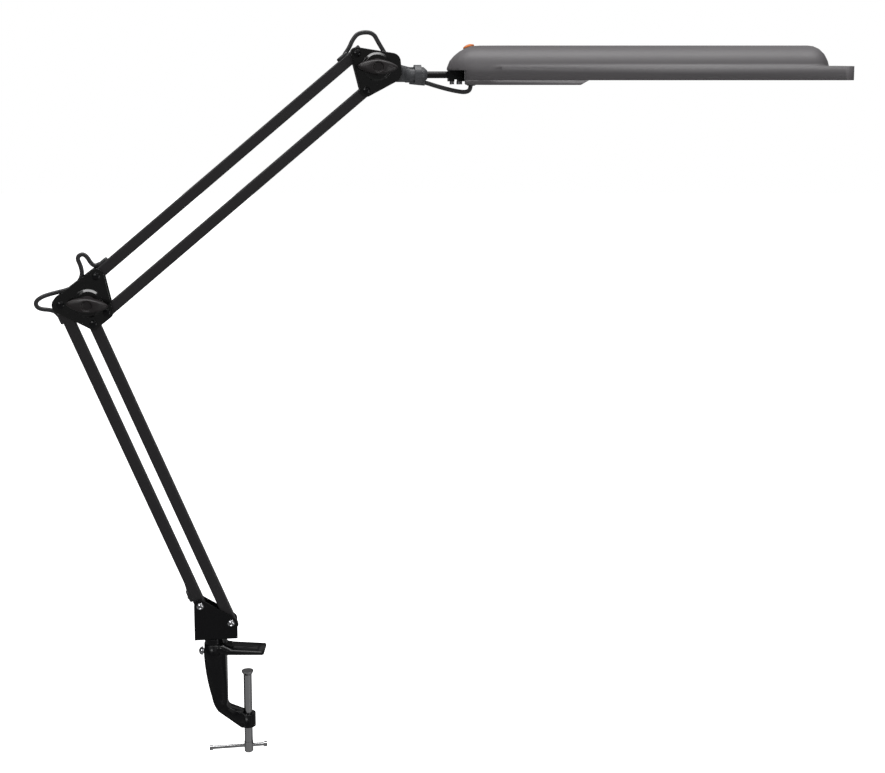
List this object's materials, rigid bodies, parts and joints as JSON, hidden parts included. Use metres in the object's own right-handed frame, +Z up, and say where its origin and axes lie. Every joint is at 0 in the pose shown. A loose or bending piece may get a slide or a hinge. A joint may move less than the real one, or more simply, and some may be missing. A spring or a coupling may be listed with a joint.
{
  "type": "clamp-mounted adjustable desk lamp",
  "caption": "Desk lamp on a double parallelogram arm of square tube, with a long flat hood for a compact twin-tube lamp, held by a screw clamp.",
  "frame": {"origin": "on the clamp screw's axis, in the plane of the jaw's underside, where the desk top is", "axes": "+X along the jaw over the desk, +Z up, -Y towards the side with the wing knobs"},
  "size_m": [0.9002, 0.1317, 0.8302],
  "materials": {
    "black_gloss": "gloss",
    "bright_steel": "polished",
    "arm_paint": "satin",
    "nylon": "satin",
    "rubber": "matte",
    "knob_plastic": "satin",
    "brass": "satin",
    "bracket_black": "satin",
    "head_satin": "satin",
    "orange": "gloss",
    "reflector_metal": "satin",
    "white_plastic": "satin",
    "lamp_glass": "gloss",
    "ballast_iron": "matte"
  },
  "bodies": {
    "clamp": {"clamp_frame": "black_gloss", "socket_set_screw": "bright_steel"},
    "pad": {"pressure_pad": "bright_steel"},
    "screw": {"clamp_screw": "bright_steel"},
    "bar": {"tommy_bar": "bright_steel"},
    "base": {"swivel_post": "bright_steel", "base_bracket": "black_gloss", "base_pivot_screws": "bright_steel", "base_pivot_nuts": "bright_steel"},
    "lower_arm": {"lower_bar_left": "arm_paint", "bushings_lower_left": "nylon", "cable_grommets_lower": "rubber", "cable_lower": "rubber"},
    "lower_link": {"lower_bar_right": "arm_paint", "bushings_lower_right": "nylon"},
    "elbow": {"elbow_plate_front": "arm_paint", "elbow_plate_rear": "arm_paint", "elbow_rivets": "bright_steel", "elbow_spacer": "bright_steel", "elbow_bolt": "bright_steel"},
    "elbow_wing": {"elbow_knob": "knob_plastic", "elbow_knob_insert": "brass"},
    "upper_arm": {"upper_bar_top": "arm_paint", "bushings_upper_top": "nylon", "cable_grommets_upper": "rubber", "cable_upper": "rubber"},
    "upper_link": {"upper_bar_bottom": "arm_paint", "bushings_upper_bottom": "nylon"},
    "head_plates": {"head_plate_front": "arm_paint", "head_plate_rear": "arm_paint", "head_plate_rivets": "bright_steel", "head_bolt": "bright_steel", "tilt_friction_discs": "nylon"},
    "head_wing": {"head_knob": "knob_plastic", "head_knob_insert": "brass"},
    "swivel": {"swivel_arm": "knob_plastic", "swivel_ring": "knob_plastic", "twist_grub_screw": "bright_steel", "cable_swivel": "rubber"},
    "bracket": {"head_rod": "bright_steel", "head_bracket": "bracket_black", "rod_clamp_screw": "bright_steel", "yaw_bolt": "bright_steel", "yaw_nut": "bright_steel"},
    "head": {"hood": "head_satin", "lower_cover": "head_satin", "reflector": "reflector_metal", "lampholder": "white_plastic", "lamp_base": "white_plastic", "lamp_tubes": "lamp_glass", "lamp_clip": "bright_steel", "ballast": "ballast_iron", "terminal_block": "white_plastic", "switch_body": "knob_plastic", "head_cable_grommet": "rubber", "cover_screws": "bright_steel", "cable_head": "rubber"},
    "button": {"power_button": "orange"}
  },
  "joints": [
    {"name": "screw_travel", "type": "slide", "parent": "clamp", "child": "pad", "axis": [0, 0, 1], "range_m": [-0.044, 0.019]},
    {"name": "screw_turn", "type": "hinge", "parent": "pad", "child": "screw", "pos_m": [0, 0, -0.06], "axis": [0, 0, 1], "range_deg": [-10560, 4560]},
    {"name": "tommy_bar_slide", "type": "slide", "parent": "screw", "child": "bar", "axis": [0.9877, 0.1564, 0], "range_m": [-0.012, 0.036]},
    {"name": "base_swivel", "type": "hinge", "parent": "clamp", "child": "base", "pos_m": [-0.038, 0, 0], "axis": [0, 0, 1], "continuous": true},
    {"name": "lower_arm_hinge", "type": "hinge", "parent": "base", "child": "lower_arm", "pos_m": [-0.05236, -0.00202, 0.0563], "axis": [0.1392, -0.9903, 0], "range_deg": [-90, 15]},
    {"name": "lower_link_hinge", "type": "hinge", "parent": "base", "child": "lower_link", "pos_m": [-0.01808, 0.0028, 0.03433], "axis": [0.1392, -0.9903, 0], "range_deg": [-90, 15]},
    {"name": "elbow_hinge", "type": "hinge", "parent": "lower_arm", "child": "elbow", "pos_m": [-0.19454, -0.022, 0.40813], "axis": [0.1392, -0.9903, 0], "range_deg": [-15, 90], "deforming": ["cable_lower"]},
    {"name": "elbow_knob_turn", "type": "hinge", "parent": "elbow", "child": "elbow_wing", "pos_m": [-0.16523, -0.01788, 0.40913], "axis": [0.1392, -0.9903, 0], "range_deg": [-180, 180]},
    {"name": "upper_arm_hinge", "type": "hinge", "parent": "elbow", "child": "upper_arm", "pos_m": [-0.15572, -0.01655, 0.43903], "axis": [0.1392, -0.9903, 0], "range_deg": [-90, 42], "deforming": ["cable_upper"]},
    {"name": "upper_link_hinge", "type": "hinge", "parent": "elbow", "child": "upper_link", "pos_m": [-0.14557, -0.01512, 0.39851], "axis": [0.1392, -0.9903, 0], "range_deg": [-90, 42]},
    {"name": "head_plates_hinge", "type": "hinge", "parent": "upper_arm", "child": "head_plates", "pos_m": [0.13027, 0.02365, 0.68136], "axis": [0.1392, -0.9903, 0], "range_deg": [-42, 90], "deforming": ["cable_upper"]},
    {"name": "head_knob_turn", "type": "hinge", "parent": "head_plates", "child": "head_wing", "pos_m": [0.15195, 0.0267, 0.66686], "axis": [0.1392, -0.9903, 0], "range_deg": [-180, 180]},
    {"name": "head_tilt", "type": "hinge", "parent": "head_plates", "child": "swivel", "pos_m": [0.15195, 0.0267, 0.66686], "axis": [0.1392, -0.9903, 0], "range_deg": [-50, 90], "deforming": ["cable_swivel"]},
    {"name": "head_twist", "type": "hinge", "parent": "swivel", "child": "bracket", "pos_m": [0.19768, 0.03312, 0.65786], "axis": [0.9903, 0.1392, 0], "range_deg": [-90, 90], "deforming": ["cable_swivel"]},
    {"name": "head_yaw", "type": "hinge", "parent": "bracket", "child": "head", "pos_m": [0.24425, 0.03967, 0.65786], "axis": [0, 0, 1], "range_deg": [-60, 60], "deforming": ["cable_head"]},
    {"name": "power_button_press", "type": "slide", "parent": "head", "child": "button", "axis": [0.2924, 0, -0.9563], "range_m": [0, 0.0025], "stiffness_N_per_m": 600}
  ],
  "couplings": [
    {"joint": "screw_travel", "follows": "screw_turn", "m_per_rad": 0.00023873},
    {"joint": "lower_link_hinge", "follows": "lower_arm_hinge", "ratio": 1},
    {"joint": "elbow_hinge", "follows": "lower_arm_hinge", "ratio": -1},
    {"joint": "upper_link_hinge", "follows": "upper_arm_hinge", "ratio": 1},
    {"joint": "head_plates_hinge", "follows": "upper_arm_hinge", "ratio": -1}
  ]
}
